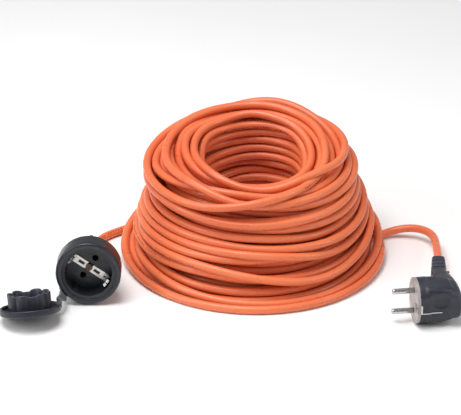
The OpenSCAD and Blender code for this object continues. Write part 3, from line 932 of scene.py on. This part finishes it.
def band(name, start, end, half, thick):
    """A flat soft strap between two places, as strap_place gives them."""
    (p0, way_start, across_start), (p3, way_end, across_end) = start, end
    reach = (p3 - p0).length * 0.6
    p1 = p0 + way_start * reach
    p2 = p3 - way_end * reach
    rings = []
    for t in np.linspace(0, 1, 21).tolist():
        u = 1 - t
        p = u ** 3 * p0 + 3 * t * u ** 2 * p1 + 3 * t * t * u * p2 + t ** 3 * p3
        d = 3 * u ** 2 * (p1 - p0) + 6 * t * u * (p2 - p1) + 3 * t * t * (p3 - p2)
        d.normalize()
        across = across_start.lerp(across_end, t)
        across = (across - d * across.dot(d)).normalized()
        up = d.cross(across)
        ring = superellipse(half, thick / 2, 5.0, 20)
        rings.append([tuple(p + across * x + up * y) for x, y in ring])
    return add_object(name, *loft(rings))


def soft_piece(obj):
    """Strap material for a piece that reaches from one body to the next; its placement is baked into
    its points.
    """
    dress(obj, STRAP_SHEEN_RUBBER)
    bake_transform(obj)


tether = add_object("strap_root", *join([sector(27.9, 29.9, STRAP_HALF, -9, 7),
                                         sector(27.9, 30.3, STRAP_HALF, -9.2, -6.4, 0.02)]),
                    matrix=COUPLER)
bevel(tether, 0.5 * MM, 3)
finish_piece(tether, STRAP_SHEEN_RUBBER, "cap_rubber", "root", "cap_tether")

strap_end = add_object("strap_end", *sector(26.6, 28.5, STRAP_HALF * 0.85, 0.5, 6.5), matrix=CAP)
bevel(strap_end, 0.5 * MM, 3)
soft_piece(strap_end)
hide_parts("cap_strap")

strap_band = band("strap_band", strap_place(COUPLER, 28.9, 4.5), strap_place(CAP, 27.55, 3.5),
                  3.6 * MM, 1.7 * MM)
soft_piece(strap_band)

cap_lug = add_object("cap_lug", *sector(25.9, 27.1, STRAP_HALF * 0.85, 1.2, 5.8), matrix=CAP)
bevel(cap_lug, 0.3 * MM, 2)
finish_piece(cap_lug, STRAP_SHEEN_RUBBER, "cap_rubber", "cap")


# ---- Plug ----

FLANGE_R = 19.6
FLANGE_FLAT = 16.6          # the flange is cut flat on the side that faces the front


def plug_sections():
    """The moulded body from the flange to its bevelled back, before the neck is blended in."""
    parts = []
    t = np.linspace(0, 2 * math.pi, 72, endpoint=False)
    disc = np.c_[np.minimum(FLANGE_R * np.cos(t), FLANGE_FLAT), FLANGE_R * np.sin(t)]
    parts.append(loft([np.c_[disc * MM, np.full(len(disc), z * MM)] for z in (-2.5, -11.5)]))
    block = []
    for z, x0, x1, half_y, power in ((-9, -13.8, 15.6, 17.2, 6), (-12, -13.8, 15.6, 17.2, 6),
                                     (-24, -13.6, 15.2, 16.2, 6), (-30, -13.0, 14.4, 15.2, 6),
                                     (-34, -12, 12.6, 13.0, 5), (-38, -10.4, 9.6, 10.0, 5)):
        ring = superellipse((x1 - x0) / 2, half_y, power)
        ring[:, 0] += (x0 + x1) / 2
        block.append(np.c_[ring * MM, np.full(len(ring), z * MM)])
    parts.append(loft(block))
    return parts


NECK_Z = -31.8
NECK_LEAN = math.radians(-2)
NECK_END = 41
RELIEF_LEAN = math.radians(11)
RELIEF_LEN = 28
RELIEF_WAY = np.array([-math.cos(RELIEF_LEAN), 0, -math.sin(RELIEF_LEAN)])
NECK_WAY = np.array([-math.cos(NECK_LEAN), 0, -math.sin(NECK_LEAN)])
NECK_TIP = np.array([0, 0, NECK_Z]) + NECK_WAY * NECK_END


def neck_section(centre, way, half_z, half_y, power):
    """A rounded section square to way; its wide side runs along the pins."""
    wide = np.array([way[2], 0, -way[0]])
    ring = superellipse(half_z, half_y, power)
    return (centre + ring[:, :1] * wide + ring[:, 1:] * np.array([0, 1, 0])) * MM


def plug_neck():
    """Wedge that starts proud of the side that faces the front and narrows to the relief."""
    rings = []
    for s, back, half_z, half_y in ((-16.8, -37.2, 4.2, 9), (-14.5, -38.9, 6.6, 12),
                                    (-6, -39.7, 9, 13.6), (5, -39.8, 10.4, 13.8),
                                    (15, -39.2, 10, 12.6), (25, -38.5, 9, 10.6),
                                    (34, -37.8, 7.8, 8.6), (NECK_END, -37.4, 7, 7.2)):
        centre = np.array([-s, 0, back + half_z])
        rings.append(neck_section(centre, NECK_WAY, half_z, half_y, 3.2))
    return loft(rings)


def plug_body():
    """All the moulded parts fused, softened and given their thumb grip."""
    obj = add_object("plug_moulding", *join(plug_sections() + [plug_neck()]))
    mod = obj.modifiers.new("fuse", "REMESH")
    mod.mode = "VOXEL"
    mod.voxel_size = 0.55 * MM
    mod = obj.modifiers.new("soften", "SMOOTH")
    mod.factor = 0.6
    mod.iterations = 3
    apply_modifiers(obj)
    p = points_of(obj) / MM
    x, y, z = p.T
    front = ease((x - 9) / 5)
    # oval thumb grip in the side that faces the front
    oval = ((z + 21) / 8) ** 2 + ((y - 5) / 7) ** 2
    x = x - 1.3 * front * np.clip(1 - oval, 0, 1) ** 0.6
    move_points(obj, np.c_[x, y, z] * MM @ np.array(PLUG.to_3x3()).T + np.array(PLUG.translation))
    return obj


def plug_relief():
    """Tapered block with three grooves across it and a blunt end."""
    rings = []
    for s in np.linspace(0.1, RELIEF_LEN, 120):
        half = 7.0 - 1.3 * s / RELIEF_LEN
        groove = sum(float(ease((s - g) / 0.4) * ease((g + 2.8 - s) / 0.4))
                     for g in (5, 11.6, 18.2))
        half_z, half_y = half - 1.7 * groove, half - 0.35 - 1.7 * groove
        if s > RELIEF_LEN - 0.7:
            half_z, half_y = half_z - 0.4, half_y - 0.4
        rings.append(neck_section(NECK_TIP + RELIEF_WAY * s, RELIEF_WAY, half_z, half_y, 4.0))
    return add_object("plug_tail", *loft(rings), matrix=PLUG)


def pin(height):
    """Round pin with a domed tip and a thinner root."""
    outline = [(0.01, -12.3), (2.15, -12.3), (2.15, 0.2), (2.4, 0.4), (2.4, 9), (2.4, 17.2)]
    outline += arc(0.7, 17.3, 1.7, 0, 90, 7) + [(0.01, 19)]
    verts, faces = lathe(outline, 40)
    return verts + np.array([0, height * MM, 0]), faces


def earth_strips():
    """The earth strip's two visible runs: a folded end on the face and a thin rail."""
    parts = []
    for side in (-1, 1):
        for x0, x1, y0, y1, z0, z1 in ((13.4, 17.5, -4.2, 3.2, -0.9, 0.35),
                                       (16.7, 17.5, -4.2, 3.2, -4.4, 0.0),
                                       (16.0, 17.05, -5.3, -4.3, -11.6, -0.5),
                                       (14.9, 16.3, -5.3, -4.3, -21.5, -11.0)):
            low, high = sorted((side * x0, side * x1))
            parts.append(box_solid(low, high, y0, y1, z0, z1))
    obj = add_object("plug_earth_strips", *join(parts), matrix=PLUG, smooth=False)
    bevel(obj, 0.2 * MM)
    return obj


finish_piece(earth_strips(), PIN_NICKEL, "nickel", "root", "plug_earth_clip")
finish_piece(plug_body(), PLUG_RUBBER, "plug_rubber", "root", "plug_body")
finish_piece(plug_relief(), PLUG_RUBBER, "plug_rubber", "root", "plug_strain_relief")
for pin_name, height in (("pin_live", 9.5), ("pin_neutral", -9.5)):
    piece = add_object(pin_name + "_round", *pin(height), matrix=PLUG)
    finish_piece(piece, PIN_NICKEL, "nickel", "root", pin_name)


# ---- Floor and light ----

def make_floor():
    verts = [(-6, -6, 0), (6, -6, 0), (6, 6, 0), (-6, 6, 0)]
    floor = add_object("floor", verts, [(0, 1, 2, 3)], smooth=False)
    n = Nodes("floor_paper")
    tone = n.mix(n.span(n.noise(3, 2), 0.3, 0.7), (0.93, 0.93, 0.93), (0.95, 0.95, 0.95))
    n.set(Base_Color=tone, Roughness=0.8)
    n.shader.inputs["Specular IOR Level"].default_value = 0.2
    dress(floor, n.material)


def add_area(name, place, target, size, power):
    data = bpy.data.lights.new(name, "AREA")
    data.shape = "RECTANGLE"
    data.size, data.size_y = size
    data.energy = power
    lamp = bpy.data.objects.new(name, data)
    bpy.context.scene.collection.objects.link(lamp)
    lamp.location = place
    lamp.rotation_euler = (Vector(target) - Vector(place)).to_track_quat("-Z", "Y").to_euler()


def make_light():
    world = bpy.data.worlds.new("studio")
    world.use_nodes = True
    world.node_tree.nodes["Background"].inputs["Color"].default_value = (1, 1, 1, 1)
    world.node_tree.nodes["Background"].inputs["Strength"].default_value = 0.33
    bpy.context.scene.world = world
    bpy.context.scene.view_settings.view_transform = "Standard"
    middle = tuple(COIL_AT)
    add_area("top_box", (COIL_AT[0] - 0.30, COIL_AT[1] - 0.15, 1.3), middle, (0.9, 0.8), 15)
    add_area("left_box", (COIL_AT[0] - 1.2, COIL_AT[1] - 0.5, 0.8), middle, (0.5, 0.8), 7)
    add_area("right_box", (COIL_AT[0] + 1.2, COIL_AT[1] - 0.4, 0.8), middle, (0.4, 0.8), 4)


make_floor()
make_light()
